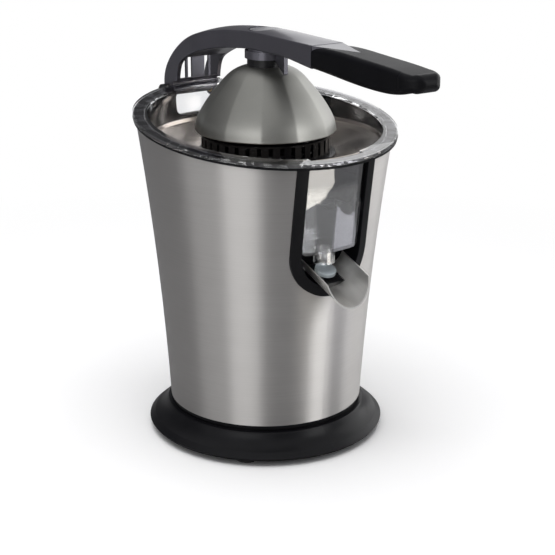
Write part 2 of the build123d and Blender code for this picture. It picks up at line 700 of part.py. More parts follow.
def arm_blank():
    """Lever arm before its slots and pockets, with rounded edges and a round foot about the pin."""
    end = leg_end_radius
    heel = path((hinge_x - end, hinge_z), (hinge_x + end, hinge_z), (hinge_x + end, hinge_z + 7.5),
                (hinge_x + 7.5, hinge_z + 9.7), (hinge_x + 12, hinge_z + 10.1),
                (hinge_x + 12.8, hinge_z + 11.5))
    front = path((arm_end, arm_under - 3.7), (arm_end, arm_top - 0.2))
    side = make_face([arm_top_line(), *heel.edges(), arm_under_line(), *front.edges()])
    blank = (side_plate(side, -30, 30) + arm_crown_layer()) & arm_plan()
    along = [e for e in blank.edges().filter_by(GeomType.BSPLINE) if abs(e.center().Y) > arm_half - 1]
    foot = cross_rod(end, hinge_x, hinge_z, -leg_half, leg_half)
    return fillet(along, arm_edge) + fillet(foot.edges().filter_by(GeomType.CIRCLE), arm_edge)


def leg_pocket():
    """Room between the legs, in front of and behind the thin bars that stand between them."""
    bar_back = bar_front - bar_depth
    sill = hinge_z + 11.9
    rear = path((bar_back, slot_top), (hinge_x - 15, slot_top - 7), (hinge_x - 15, hinge_z + 4),
                (hinge_x, hinge_z + 6), (hinge_x + 5.5, hinge_z + 9.7), (bar_back, sill),
                (bar_back, slot_top))
    room = side_plate(make_face(rear), -leg_inner, leg_inner)
    room += block(bar_front, bar_front + 14, leg_inner, sill, slot_top)
    for low, high in ((web_half, rib_inner), (rib_outer, leg_inner)):
        window = block(bar_back - 1, bar_front + 1, (high - low) / 2, sill, slot_top)
        room += mirrored(Pos(0, (low + high) / 2, 0) * window)
    return room


def arm_pieces():
    blank = arm_blank()
    arm = blank - leg_pocket()
    arm -= block(hinge_x - 20, hinge_x + 20, leg_inner, hinge_z - 20, hinge_z)
    arm -= block(8, arm_end - 12, arm_half - 3.2, dome_bottom, reach) & blank & Pos(0, 0, -3.2) * blank
    arm += post(boss_outer, arm_boss_under, arm_under - 1.6)
    arm += post(arm_half - 0.5, arm_boss_under, arm_under + 1)
    arm += cross_rod(barrel_radius, hinge_x, hinge_z, -leg_inner - 0.5, leg_inner + 0.5)
    tongue = block(arm_end - 9, tongue_end, tongue_half, tongue_low, tongue_low + tongue_height)
    arm += fillet(tongue.edges().filter_by(Axis.X), 1.5)
    arm += wedge(0) + arm_fin()
    arm -= post(cap_radius + 0.4, cap_top - cap_thickness, arm_top + 20)
    arm -= post(7, arm_top - 9, arm_top + 20)
    arm -= post(dome_screw_radius, arm_boss_under - 10, arm_under + 0.5)
    arm -= cross_rod(hinge_pin_radius + 1.2, hinge_x, hinge_z, -reach, reach)
    arm -= mirrored(cross_rod(bush_radius, hinge_x, hinge_z, leg_inner, reach))
    parts["lever_arm"] = arm

    floor = path((arm_end, arm_under - 3.7), (arm_end, arm_under - 1.7))
    heel = path((hinge_x + 12.8, hinge_z + 13.5), (hinge_x + 12.8, hinge_z + 11.5))
    band = make_face([arm_under_line(), *floor.edges(), arm_under_line(2.0), *heel.edges()])
    cover = side_plate(band, -arm_half + 3.4, arm_half - 3.4)
    cover = cover & block(8, arm_end - 12.2, 30, dome_bottom, reach)
    cover -= block(8, fin_reach + gap, fin_half + gap, dome_bottom, reach)
    parts["arm_cover"] = cover - bore(boss_outer + gap)

    bush = cross_rod(bush_radius, hinge_x, hinge_z, leg_inner, leg_half)
    bush -= cross_rod(hinge_pin_radius + running_fit, hinge_x, hinge_z, 0, 40)
    parts["hinge_bushes"] = mirrored(bush)

    cap = post(cap_radius, cap_top - cap_thickness, cap_top)
    parts["arm_cap"] = fillet(cap.edges().group_by(Axis.Z)[-1], 0.4)


def arm_fin():
    """Pointed fin that hangs from the arm in front of the boss."""
    tip = dome_top - 3.9
    back = boss_outer - 0.6
    side = path((back, arm_under + 2), (back, arm_boss_under - 0.6), (fin_reach - 1.6, tip + 1.1),
                (fin_reach - 0.6, tip), (fin_reach, tip + 0.9), (fin_reach, arm_under + 2),
                (back, arm_under + 2))
    return side_plate(make_face(side), -fin_half, fin_half)


def wedge(offset):
    """Pointed tail of the arm's top that runs out over the grip."""
    start, tail = arm_end - 2, arm_end + 39
    side = path((start, arm_top - 5), (tail + 1, arm_top - 2.3), (tail + 1, arm_top - 0.8),
                (start, arm_top - 0.15), (start, arm_top - 5))
    half = arm_half + offset
    plan = make_face(Polyline((start, half), (tail + 2 * offset, 0), (start, -half), close=True))
    return side_plate(make_face(side), -20, 20) & Pos(0, 0, arm_under - 6.5 - offset) * extrude(plan, 40)


def grip_piece():
    nose = arm_end + 0.1        # front of the arm, from which the grip takes over
    round_start = grip_end - 9
    top = Spline((nose, arm_top - 1.9), (nose + 12, arm_top - 0.7), (grip_end - 63, arm_top - 1.7),
                 (grip_end - 25, arm_top - 3.9), (round_start, arm_top - 5.5))
    nose_arc = ThreePointArc((round_start, arm_top - 5.5), (grip_end - 0.6, arm_top - 11.1),
                             (round_start, arm_top - 17.5))
    under = Spline((round_start, arm_top - 17.5), (grip_end - 21, arm_top - 20.3),
                   (grip_end - 43, arm_top - 21.5),
                   (grip_end - 78, arm_top - 19.7), (nose, arm_top - 16.9))
    back = path((nose, arm_top - 16.9), (nose, arm_top - 1.9))
    side = side_plate(make_face([top, nose_arc, under, *back.edges()]), -20, 20)
    turn = grip_end - arm_half - 4
    plan = make_face([Line((nose, arm_half), (turn, arm_half)),
                      ThreePointArc((turn, arm_half), (grip_end, 0), (turn, -arm_half)),
                      *Polyline((turn, -arm_half), (nose, -arm_half), (nose, arm_half)).edges()])
    grip = side & Pos(0, 0, arm_top - 40) * extrude(plan, 60)
    level = grip.edges() - grip.edges().filter_by(Axis.Y) - grip.edges().filter_by(Axis.Z)
    grip = fillet(level, grip_edge)
    grip -= wedge(0.1) + Pos(0, 0, 2) * wedge(0.1)
    room = block(arm_end - 9, tongue_end + 0.2, tongue_half + 0.1, tongue_low - 0.1,
                 tongue_low + tongue_height + 0.1)
    parts["grip"] = grip - room


# ---------------------------------------------------------------- press dome
def dome_outline(inset=0.0):
    """(radius, height) points of the dome from its lower edge to its crown, moved inwards by inset."""
    shares = [(1, 0), (0.98, 0.121), (0.936, 0.252), (0.878, 0.372), (0.796, 0.503), (0.695, 0.65),
              (0.6, 0.771), (0.515, 0.867), (0.4, 0.948)]
    points = [(dome_bottom_radius * a, dome_bottom + dome_height * b) for a, b in shares]
    points.append((dome_crown_radius, dome_top))
    moved = []
    for k, (r, z) in enumerate(points):
        before, after = points[max(k - 1, 0)], points[min(k + 1, len(points) - 1)]
        dr, dz = after[0] - before[0], after[1] - before[1]
        length = sqrt(dr * dr + dz * dz)
        moved.append((r - inset * dz / length, z + inset * dr / length))
    return moved


def dome_pieces():
    points = dome_outline()
    right, left = Spline(*points), Spline(*[(-r, z) for r, z in points])
    rest = Line(points[-1], (-points[-1][0], points[-1][1])), Line(points[0], (-points[0][0], points[0][1]))
    gore = side_plate(make_face([right, left, *rest]), -80, 80)
    dome = revolved_dome([(r * gore_round, z) for r, z in points])
    for k in range(dome_gores // 2):
        dome = dome & Rot(0, 0, 360 / dome_gores * (k + 0.5)) * gore
    dome -= revolved_dome(dome_outline(dome_wall))
    dome -= post(dome_bottom_radius - dome_wall - 0.4, dome_bottom - 10, dome_bottom + 1)
    parts["press_dome"] = dome - post(8.2, dome_top - 13, dome_top + 7)

    under = dome_top - dome_wall
    hole = post(dome_screw_radius + 0.2, dome_top - 13, dome_top + 17)
    parts["dome_neck"] = post(neck_radius, dome_top, arm_boss_under) + post(8, under, dome_top + 0.5) - hole
    parts["dome_washer"] = post(washer_radius, under - washer_thickness, under) - hole
    head = under - washer_thickness
    screw = post(dome_screw_radius, head, arm_under - 0.5) + post(5, head - 3, head)
    parts["dome_screw"] = screw - Pos(0, 0, head - 3) * extrude(RegularPolygon(2.2, 6), 2)


def revolved_dome(points):
    """Solid of revolution under a spline of (radius, height) points."""
    low, high = points[0], points[-1]
    rest = path(high, (0, high[1]), (0, low[1]), low)
    return revolve(Plane.XZ * make_face([Spline(*points), *rest.edges()]), Axis.Z)


# ---------------------------------------------------------------- drive
def stadium(radius, low, high):
    """Upright block with round ends, over the spindle's axis and the compound gear's axis."""
    outline = Pos(-gear_distance / 2, 0) * SlotCenterToCenter(gear_distance, 2 * radius)
    return Pos(0, 0, low) * extrude(outline, high - low)


def column_spots():
    """(x, y) of the four columns that hang the gearbox from the bowl housing."""
    return [(x, y) for x in (12.0, -gear_distance - 12.0) for y in (-31.0, 31.0)]


def gearbox_pieces():
    floor = motor_top + gearbox_wall
    case = stadium(gearbox_room + gearbox_wall, motor_top, gearbox_top)
    lid = stadium(gearbox_room + gearbox_wall, gearbox_top, gearbox_top + gearbox_wall)
    for x, y in column_spots():
        case += post(column_radius, motor_top, gearbox_top, x, y)
        lid += post(column_radius, gearbox_top, column_top, x, y)
    case -= stadium(gearbox_room - gearbox_ledge, floor, bridge_z + 1)
    case -= stadium(gearbox_room, bridge_z, gearbox_top + 1)
    case -= bore(10)
    case -= post(axle_radius, floor - 1.5, 140, -gear_distance)
    lid -= bore(spindle_radius + 1)
    lid -= post(axle_radius, 100, gearbox_top + 1.5, -gear_distance)
    screws = Part()
    for x, y in column_spots():
        case -= bore(screw_radius + 0.1, x, y)
        lid -= bore(screw_radius + 0.1, x, y)
        screws += post(screw_radius, motor_top, column_top + 9, x, y)
        screws += post(screw_head_radius, motor_top - screw_head_height, motor_top, x, y)
    motor_screws = Part()
    for y in (-20, 20):
        case -= bore(screw_radius + 0.1, 0, y)
        motor_screws += post(screw_radius, motor_top - 3, floor, 0, y)
        motor_screws += post(screw_head_radius, floor, floor + screw_head_height, 0, y)
    bridge = stadium(gearbox_room - 0.2, bridge_z, bridge_z + bridge_thickness)
    bridge -= bore(bush_outer) + bore(hub_radius + 1, -gear_distance)
    parts["gearbox_case"] = case
    parts["gearbox_lid"] = lid
    parts["gearbox_bridge"] = bridge
    parts["gearbox_screws"] = screws
    parts["motor_screws"] = motor_screws


def motor_pieces():
    low = motor_top - motor_height
    can = post(motor_radius, low, motor_top) - post(motor_radius - 2, low - 1, motor_top - 3)
    can -= bore(shaft_radius + running_fit)
    for y in (-20, 20):
        can -= post(screw_radius, motor_top - 4, 200, 0, y)
    parts["motor_can"] = can
    end = post(motor_radius - 2, low, low + 3) - bore(shaft_radius + running_fit)
    end -= mirrored(Pos(0, 18, low) * extrude(SlotOverall(20, 4), 10, both=True))
    parts["motor_end_plate"] = end
    magnet = ring(motor_radius - 2, motor_radius - 5, low + 10, motor_top - 12)
    parts["motor_magnets"] = magnet - Box(120, 14, 400)
    rotor = post(shaft_radius, low - 2, bridge_z - 3)
    rotor += post(motor_radius - 6, low + 12, motor_top - 14) + post(9, low + 5, low + 12)
    for k in range(8):
        rotor -= Rot(0, 0, 45 * k) * Pos(motor_radius - 6, 0, (low + motor_top) / 2) * Box(6, 2.4, 60)
    rotor += gear(pinion_teeth, lower_wheel_z, lower_wheel_width, 180 / pinion_teeth)
    parts["motor_rotor"] = rotor


def gear_pieces():
    compound = gear(wheel_teeth, lower_wheel_z, lower_wheel_width)
    compound += post(hub_radius, lower_wheel_z, upper_wheel_z)
    compound += gear(pinion_teeth, upper_wheel_z - press_travel - 0.3, upper_wheel_width + press_travel + 0.6)
    compound -= bore(axle_radius + running_fit)
    for k in range(6):
        compound -= Rot(0, 0, 60 * k) * post(4, lower_wheel_z - 1, lower_wheel_z + 20, 13)
    parts["compound_gear"] = Pos(-gear_distance, 0, 0) * compound
    parts["compound_axle"] = post(axle_radius, motor_top + gearbox_wall - 1.5, gearbox_top + 1.5,
                                  -gear_distance)

    wheel = gear(wheel_teeth, upper_wheel_z, upper_wheel_width, 180 / wheel_teeth)
    for k in range(6):
        wheel -= Rot(0, 0, 60 * k) * post(4, upper_wheel_z - 1, upper_wheel_z + 20, 13)
    parts["output_wheel"] = wheel - bore(spindle_radius)
    shoulder = bridge_z + bridge_thickness + press_travel + gap
    spindle = post(spindle_radius, shoulder, hex_start) + post(bush_inner, spindle_foot, shoulder)
    spindle += Pos(0, 0, hex_start) * extrude(RegularPolygon(spindle_hex / 2, 6), spindle_top - hex_start)
    parts["drive_spindle"] = spindle
    lower = ring(bush_outer, bush_inner + running_fit, bridge_z, bridge_z + bridge_thickness)
    upper = ring(boss_bore, spindle_radius + running_fit, boss_shoulder, boss_top - 4)
    parts["spindle_bushes"] = lower + upper
    parts["shaft_seal"] = ring(boss_bore, spindle_radius + running_fit, boss_top - 4, boss_top - 0.5)

    plate_top = upper_wheel_z
    plate_low = plate_top - thrust_thickness
    plate = ring(14, spindle_radius + running_fit, plate_low, plate_top)
    arm = Pos(0, (12 + switch_y + 4) / 2, (plate_low + plate_top) / 2)
    plate += arm * Box(8, switch_y - 8, thrust_thickness)
    parts["press_plate"] = plate
    deck = bridge_z + bridge_thickness
    coil_height = plate_low - deck - spring_wire
    helix = Helix(pitch=coil_height / spring_turns, height=coil_height, radius=spring_radius)
    start = Plane(origin=helix @ 0, z_dir=helix % 0)
    coil = sweep(start * Circle(spring_wire / 2), path=helix)
    parts["press_spring"] = Pos(0, 0, deck + spring_wire / 2) * coil
    switch = Pos(0, switch_y, deck + 2) * Box(14, 11, 4)
    switch = fillet(switch.edges().filter_by(Axis.Z), 0.8)
    parts["micro_switch"] = switch - post(1.6, deck + 0.2, deck + 10, 0, switch_y)
    parts["switch_plunger"] = post(1.5, deck + 3, plate_low, 0, switch_y)


# ---------------------------------------------------------------- build and write
def build_all():
    base_pieces()
    body_pieces()
    surround_piece()
    collector_piece()
    strainer_pieces()
    reamer_piece()
    housing_piece()
    bracket_pieces()
    chute_pieces()
    arm_pieces()
    grip_piece()
    dome_pieces()
    gearbox_pieces()
    motor_pieces()
    gear_pieces()


def write_all():
    """Write each piece, moved so that the origin is the middle of the whole's footprint."""
    os.makedirs("parts", exist_ok=True)
    boxes = [shape.bounding_box() for shape in parts.values()]
    middle = round((min(b.min.X for b in boxes) + max(b.max.X for b in boxes)) / 2, 1)
    print("body axis at x =", -middle)
    for name, shape in parts.items():
        solids = (Pos(-middle, 0, 0) * shape).solids()
        whole = solids[0] if len(solids) == 1 else Compound(children=list(solids))
        export_step(whole, f"parts/{name}.step")
        print(name, len(solids), "solid(s), volume", round(sum(s.volume for s in solids), 1))


build_all()
write_all()
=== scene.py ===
import json
import math
import bpy
import numpy as np
from mathutils import Matrix, Vector


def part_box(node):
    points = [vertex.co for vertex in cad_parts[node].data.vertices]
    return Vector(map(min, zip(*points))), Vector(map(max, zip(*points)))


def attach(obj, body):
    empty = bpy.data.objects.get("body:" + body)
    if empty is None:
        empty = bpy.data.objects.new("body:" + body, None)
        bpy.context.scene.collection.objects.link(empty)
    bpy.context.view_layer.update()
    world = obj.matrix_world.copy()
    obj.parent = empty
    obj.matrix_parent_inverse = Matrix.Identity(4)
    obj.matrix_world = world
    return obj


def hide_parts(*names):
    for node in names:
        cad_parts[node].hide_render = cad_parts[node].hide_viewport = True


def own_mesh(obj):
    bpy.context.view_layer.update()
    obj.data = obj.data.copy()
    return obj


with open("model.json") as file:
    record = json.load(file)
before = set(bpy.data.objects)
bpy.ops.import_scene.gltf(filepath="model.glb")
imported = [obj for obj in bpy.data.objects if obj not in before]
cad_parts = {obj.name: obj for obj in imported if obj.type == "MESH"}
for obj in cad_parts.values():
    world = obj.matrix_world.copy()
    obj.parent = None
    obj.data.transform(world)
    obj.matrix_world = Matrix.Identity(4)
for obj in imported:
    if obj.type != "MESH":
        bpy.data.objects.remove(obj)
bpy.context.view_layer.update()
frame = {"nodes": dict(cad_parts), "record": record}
nodes = frame["nodes"]
axisX = -0.0373  # the body's upright axis in this frame
print("stage: frame loaded,", len(nodes), "nodes")


class Wire:
    # a socket that can be used in sums: each operation adds one Math node
    def __init__(self, tree, socket=None):
        self.tree = tree
        self.socket = socket

    def add(self, kind, settings=None, inputs=None, output=0):
        # one node of any type: settings first, then values or links for its sockets
        node = self.tree.nodes.new(kind)
        for name, value in (settings or {}).items():
            setattr(node, name, value)
        for name, value in (inputs or {}).items():
            if isinstance(value, Wire):
                self.tree.links.new(value.socket, node.inputs[name])
            else:
                node.inputs[name].default_value = value
        return Wire(self.tree, node.outputs[output])

    def sum(self, operation, first, second):
        return self.add("ShaderNodeMath", {"operation": operation}, {0: first, 1: second})

    def __add__(self, other):
        return self.sum("ADD", self, other)

    def __radd__(self, other):
        return self.sum("ADD", other, self)

    def __sub__(self, other):
        return self.sum("SUBTRACT", self, other)

    def __rsub__(self, other):
        return self.sum("SUBTRACT", other, self)

    def __mul__(self, other):
        return self.sum("MULTIPLY", self, other)

    def __rmul__(self, other):
        return self.sum("MULTIPLY", other, self)

    def __truediv__(self, other):
        return self.sum("DIVIDE", self, other)

    def __rtruediv__(self, other):
        return self.sum("DIVIDE", other, self)

    def __pow__(self, other):
        return self.sum("POWER", self, other)

    def __rpow__(self, other):
        return self.sum("POWER", other, self)

    def orElse(self, other):
        # the larger of two
        return self.sum("MAXIMUM", self, other)

    def clamped(self):
        return self.sum("MINIMUM", self.orElse(0.0), 1.0)

    def above(self, level):
        # 1 where it is over the level, else 0
        return self.sum("GREATER_THAN", self, level)

    def parts(self):
        # the three numbers of a vector
        node = self.tree.nodes.new("ShaderNodeSeparateXYZ")
        self.tree.links.new(self.socket, node.inputs[0])
        return [Wire(self.tree, output) for output in node.outputs]


def firstWire(*values):
    return next(value for value in values if isinstance(value, Wire))


def join(x, y, z):
    return firstWire(x, y, z).add("ShaderNodeCombineXYZ", {}, {0: x, 1: y, 2: z})


def shade(factor, dark, light, how="MIX"):
    # a colour between two colours, each a socket or three numbers, by a value from 0 to 1
    ends = [end if isinstance(end, Wire) else (*end, 1) for end in (dark, light)]
    settings = {"data_type": "RGBA", "blend_type": how}
    inputs = {0: factor, 6: ends[0], 7: ends[1]}
    return firstWire(factor, dark, light).add("ShaderNodeMix", settings, inputs, 2)


def noise(place, scale, detail=2.0, rough=0.5):
    inputs = {"Vector": place, "Scale": scale, "Detail": detail, "Roughness": rough}
    return place.add("ShaderNodeTexNoise", {"noise_dimensions": "3D"}, inputs)


def fineNoise(place, scale=1.0):
    # noise with more of its small detail
    return noise(place, scale, detail=3.0, rough=0.6)


def fromAxis(x, y):
    # distance from the body's upright axis
    return ((x - axisX) ** 2.0 + y ** 2.0) ** 0.5


def newFinish(name, **values):
    # an empty material with one Principled shader; constants go straight onto its sockets
    material = bpy.data.materials.new(name)
    material.use_nodes = True
    tree = material.node_tree
    shader = tree.nodes["Principled BSDF"]
    for socket, value in values.items():
        shader.inputs[socket.replace("_", " ")].default_value = value
    place = Wire(tree).add("ShaderNodeTexCoord", output="Object")
    return material, shader, place


def feed(wire, shader, socket):
    wire.tree.links.new(wire.socket, shader.inputs[socket])


usualRise = 0.0001  # how far a bump stands out, in metres


def feedBump(height, look, shader):
    inputs = {"Strength": look["relief"], "Distance": look.get("rise", usualRise), "Height": height}
    feed(height.add("ShaderNodeBump", {}, inputs), shader, "Normal")


def feedRoughness(pattern, look, shader):
    # the roughness rises from its smoothest value with a pattern
    feed(pattern * look["rougher"] + look["smoothest"], shader, "Roughness")


# brushed round the axis
bodySteel = {"colour": (0.50, 0.485, 0.47), "lighter": (0.66, 0.645, 0.63), "smoothest": 0.38,
             "rougher": 0.12, "lines": 1500.0, "alongLine": 1.2, "bands": 60.0, "alongBand": 2.0,
             "bandsAt": 3.0, "lineShare": 0.7, "spread": 0.93, "spreadTurn": 0.25, "relief": 0.22}
sieveSteel = dict(bodySteel, colour=(0.20, 0.16, 0.135), lighter=(0.74, 0.68, 0.62), smoothest=0.18,
                  lines=900.0, flat=True, inner=0.045, outer=0.092, shadeDimmest=0.50)


def turnedSteel(name, look):
    # noise stretched along the angle round the axis and fine across it; the fine lines spread reflections
    # up and down, so the finish is also anisotropic; a flat turned piece gets painted shade, darker towards
    # its middle, standing in for the dark dome's reflection over it
    material, shader, place = newFinish(name, Metallic=1.0, Anisotropic=look["spread"],
                                        Anisotropic_Rotation=look["spreadTurn"])
    x, y, z = place.parts()
    angle = y.sum("ARCTAN2", y, x - axisX)
    out = fromAxis(x, y)
    across = out if look.get("flat") else z
    lines = fineNoise(join(angle * look["alongLine"], across * look["lines"], 0.0))
    bands = noise(join(angle * look["alongBand"], across * look["bands"], look["bandsAt"]), 1.0)
    pattern = lines * look["lineShare"] + bands * (1 - look["lineShare"])
    tone = shade(pattern, look["colour"], look["lighter"])
    # painted shade: a flat piece's colour is scaled down towards its middle, where the dark dome stands
    # over it
    if look.get("flat"):
        rising = ((out - look["inner"]) / (look["outer"] - look["inner"])).clamped()
        light = rising * (1 - look["shadeDimmest"]) + look["shadeDimmest"]
        tone = tone.add("ShaderNodeVectorMath", {"operation": "SCALE"}, {0: tone, "Scale": light})
    feed(tone, shader, "Base Color")
    feedRoughness(lines, look, shader)
    feedBump(lines, look, shader)
    return material


# brushed along the spout
troughSteel = {"colour": (0.60, 0.59, 0.57), "lighter": (0.76, 0.75, 0.73), "smoothest": 0.30,
               "rougher": 0.12, "lines": 1100.0, "alongLine": 14.0, "fall": 19.0, "relief": 0.10,
               "facing": 0.75, "cut": (0.62, 0.62, 0.62), "cutMetal": 0.1, "cutRougher": 0.3}


def alongSteel(name, look):
    # noise stretched along a slope that falls towards +X and fine across it; the lip at the end, which
    # faces down the slope, gets painted shade, darker and less metallic, and is also rougher
    material, shader, place = newFinish(name, Metallic=1.0)
    x, y, z = place.parts()
    fall = math.radians(look["fall"])
    run, drop = math.cos(fall), math.sin(fall)
    along = x * run - z * drop
    above = x * drop + z * run
    lines = fineNoise(join(along * look["alongLine"], y * look["lines"], above * look["lines"]))
    facing = place.add("ShaderNodeNewGeometry", output="True Normal").parts()
    # painted shade on the lip: its colour is darkened and its metallic lowered to damp a lamp's highlight
    # there
    lip = (facing[0] * run - facing[2] * drop).above(look["facing"])
    tone = shade(lines, look["colour"], look["lighter"])
    feed(shade(1.0, tone, shade(lip, (1, 1, 1), look["cut"]), "MULTIPLY"), shader, "Base Color")
    feed(1.0 - lip * (1 - look["cutMetal"]), shader, "Metallic")
    rougher = lines * look["rougher"] + lip * look["cutRougher"]
    feed(rougher + look["smoothest"], shader, "Roughness")
    feedBump(lines, look, shader)
    return material


domeSteel = {"colour": (0.24, 0.24, 0.226), "lighter": (0.32, 0.318, 0.30), "smoothest": 0.37,
             "rougher": 0.14, "grain": 900.0, "cloud": 45.0, "relief": 0.10}


def satinSteel(name, look):
    # fine satin grain with a cloudy tint
    material, shader, place = newFinish(name, Metallic=1.0)
    grain = fineNoise(place, look["grain"])
    cloud = noise(place, look["cloud"])
    feed(shade((grain + cloud) * 0.5, look["colour"], look["lighter"]), shader, "Base Color")
    feedRoughness(grain, look, shader)
    feedBump(grain, look, shader)
    return material


armLacquer = {"colour": (0.085, 0.083, 0.098), "lighten": 1.5, "smoothest": 0.29, "rougher": 0.08,
              "metal": 0.75, "coat": 0.25, "coatRoughness": 0.12, "flakes": 2600.0, "flakeShare": 0.6,
              "cloud": 30.0, "cloudShare": 0.3, "relief": 0.06, "rise": 0.00005}


def metallicLacquer(name, look):
    # tiny flakes under a thin coat
    material, shader, place = newFinish(name, Metallic=look["metal"], Coat_Weight=look["coat"],
                                        Coat_Roughness=look["coatRoughness"])
    flake = place.add("ShaderNodeTexVoronoi", {"feature": "F1"}, {"Vector": place, "Scale": look["flakes"]})
    cloud = noise(place, look["cloud"])
    lighter = tuple(part * look["lighten"] for part in look["colour"])
    pattern = flake * look["flakeShare"] + cloud * look["cloudShare"]
    feed(shade(pattern, look["colour"], lighter), shader, "Base Color")
    feedRoughness(cloud, look, shader)
    feedBump(flake, look, shader)
    return material


plainSteel = {"colour": (0.52, 0.52, 0.53), "lighten": 1.2, "smoothest": 0.25, "rougher": 0.15,
              "grain": 400.0}
bushBronze = dict(plainSteel, colour=(0.55, 0.38, 0.18), smoothest=0.31)


def machinedMetal(name, look):
    # an even metal with a faint grain in tint and gloss
    material, shader, place = newFinish(name, Metallic=1.0)
    grain = noise(place, look["grain"])
    lighter = tuple(min(part * look["lighten"], 1.0) for part in look["colour"])
    feed(shade(grain, look["colour"], lighter), shader, "Base Color")
    feedRoughness(grain, look, shader)
    return material


moulded = {"rougher": 0.08, "grain": 500.0, "cloud": 60.0, "lighten": 1.35, "lift": 0.002, "sheen": 0.25,
           "coat": 0.0, "coatRoughness": 0.05}
glossBlack = dict(moulded, colour=(0.004, 0.004, 0.005), smoothest=0.28, grain=300.0, relief=0.03,
                  sheen=0.12)
satinBlack = dict(moulded, colour=(0.006, 0.006, 0.007), smoothest=0.28, relief=0.10)
basketBlack = dict(moulded, colour=(0.003, 0.003, 0.004), smoothest=0.18, grain=400.0, relief=0.03)
softGrip = dict(moulded, colour=(0.002, 0.002, 0.003), smoothest=0.38, grain=1400.0, relief=0.22,
                sheen=0.10)
conePlastic = dict(moulded, colour=(0.016, 0.016, 0.018), smoothest=0.16, grain=400.0, relief=0.04,
                   coat=0.2)
casePlastic = dict(moulded, colour=(0.05, 0.05, 0.055), smoothest=0.41, relief=0.12)
gearPlastic = dict(moulded, colour=(0.72, 0.70, 0.63), smoothest=0.38, relief=0.05)
paleSilicone = dict(moulded, colour=(0.34, 0.38, 0.40), smoothest=0.30, relief=0.05)
footRubber = dict(moulded, colour=(0.02, 0.02, 0.02), smoothest=0.66, grain=700.0, relief=0.25)
magnetGrey = dict(moulded, colour=(0.06, 0.06, 0.06), smoothest=0.56, relief=0.1)


def plastic(name, look):
    # moulded plastic or rubber: a base colour with a faint mottle and a moulded grain
    material, shader, place = newFinish(name, Specular_IOR_Level=look["sheen"], Coat_Weight=look["coat"],
                                        Coat_Roughness=look["coatRoughness"])
    grain = fineNoise(place, look["grain"])
    cloud = noise(place, look["cloud"])
    lighter = tuple(min(part * look["lighten"] + look["lift"], 1.0) for part in look["colour"])
    feed(shade(cloud, look["colour"], lighter), shader, "Base Color")
    feedRoughness(cloud, look, shader)
    feedBump(grain, look, shader)
    return material


collector = {"colour": (0.93, 0.94, 0.96), "lighter": (0.97, 0.975, 0.985), "flangeShade": (0.24, 0.24, 0.27),
             "bend": 1.12, "skinBend": 2.4, "skinRoughness": 0.02, "skin": 0.55, "haze": 70.0,
             "smoothest": 0.015, "rougher": 0.04, "paneFrom": 0.045, "paneTop": 0.243,
             "flangeFrom": 0.0935, "highlightFrom": 0.1011, "fadeIn": 0.001, "fadeOut": 0.0004}


def clearPlastic(name, look):
    # clear moulded plastic: nearly straight transmission under a reflecting skin, which is stronger on
    # the front pane; the thick flange of the rim gets painted shade, a smoky tint, up to a thin outer edge
    # left clear as a painted highlight line
    material, shader, place = newFinish(name, Transmission_Weight=1.0, IOR=look["bend"],
                                        Coat_IOR=look["skinBend"], Coat_Roughness=look["skinRoughness"])
    x, y, z = place.parts()
    out = fromAxis(x, y)
    haze = noise(place, look["haze"])
    inPane = x.above(look["paneFrom"]) * (1.0 - z.above(look["paneTop"]))
    # painted shade: a smoky tint on the flange past the wall; the thin ring past the highlight radius stays
    # clear as a painted highlight line
    pastWall = ((out - look["flangeFrom"]) / look["fadeIn"]).clamped()
    insideEdge = ((look["highlightFrom"] - out) / look["fadeOut"]).clamped()
    tint = shade(haze, look["colour"], look["lighter"])
    feed(shade(pastWall * insideEdge, tint, look["flangeShade"]), shader, "Base Color")
    feedRoughness(haze, look, shader)
    feed(inPane * (1 - look["skin"]) + look["skin"], shader, "Coat Weight")
    return material


finishes = {
    "body_steel": turnedSteel("bodySteel", bodySteel),
    "dome_steel": satinSteel("domeSteel", domeSteel),
    "black_gloss": plastic("glossBlack", glossBlack),
    "black_satin": plastic("satinBlack", satinBlack),
    "grip_rubber": plastic("softGrip", softGrip),
    "silicone": plastic("paleSilicone", paleSilicone),
    "foot_rubber": plastic("footRubber", footRubber),
    "arm_paint": metallicLacquer("armLacquer", armLacquer),
    "clear_plastic": clearPlastic("clearCollector", collector),
    "plain_steel": machinedMetal("plainSteel", plainSteel),
    "bronze": machinedMetal("bronzeBush", bushBronze),
    "gear_plastic": plastic("gearPlastic", gearPlastic),
    "case_plastic": plastic("casePlastic", casePlastic),
    "cone_plastic": plastic("conePlastic", conePlastic),
    "magnet": plastic("magnetGrey", magnetGrey),
}
special = {  # nodes whose finish differs from that of their slot
    "spout_trough": alongSteel("troughSteel", troughSteel),
    "sieve": turnedSteel("sieveSteel", sieveSteel),
    "outlet_stopper": finishes["silicone"],
    "strainer_basket": plastic("basketBlack", basketBlack),
}
slotOf = {entry["node"]: entry["material_slot"] for entry in frame["record"]["subparts"]}
for name, piece in nodes.items():
    piece.data.materials.clear()
    piece.data.materials.append(special.get(name) or finishes[slotOf[name]])
print("stage: finishes set")


def meshPiece(name, points, faces):
    # a smooth piece from rows of points and lists of corners
    mesh = bpy.data.meshes.new(name)
    mesh.from_pydata(points.reshape(-1, 3).tolist(), [], faces)
    mesh.polygons.foreach_set("use_smooth", np.ones(len(mesh.polygons), bool))
    mesh.validate()
    mesh.update()
    piece = bpy.data.objects.new(name, mesh)
    bpy.context.collection.objects.link(piece)
    return piece


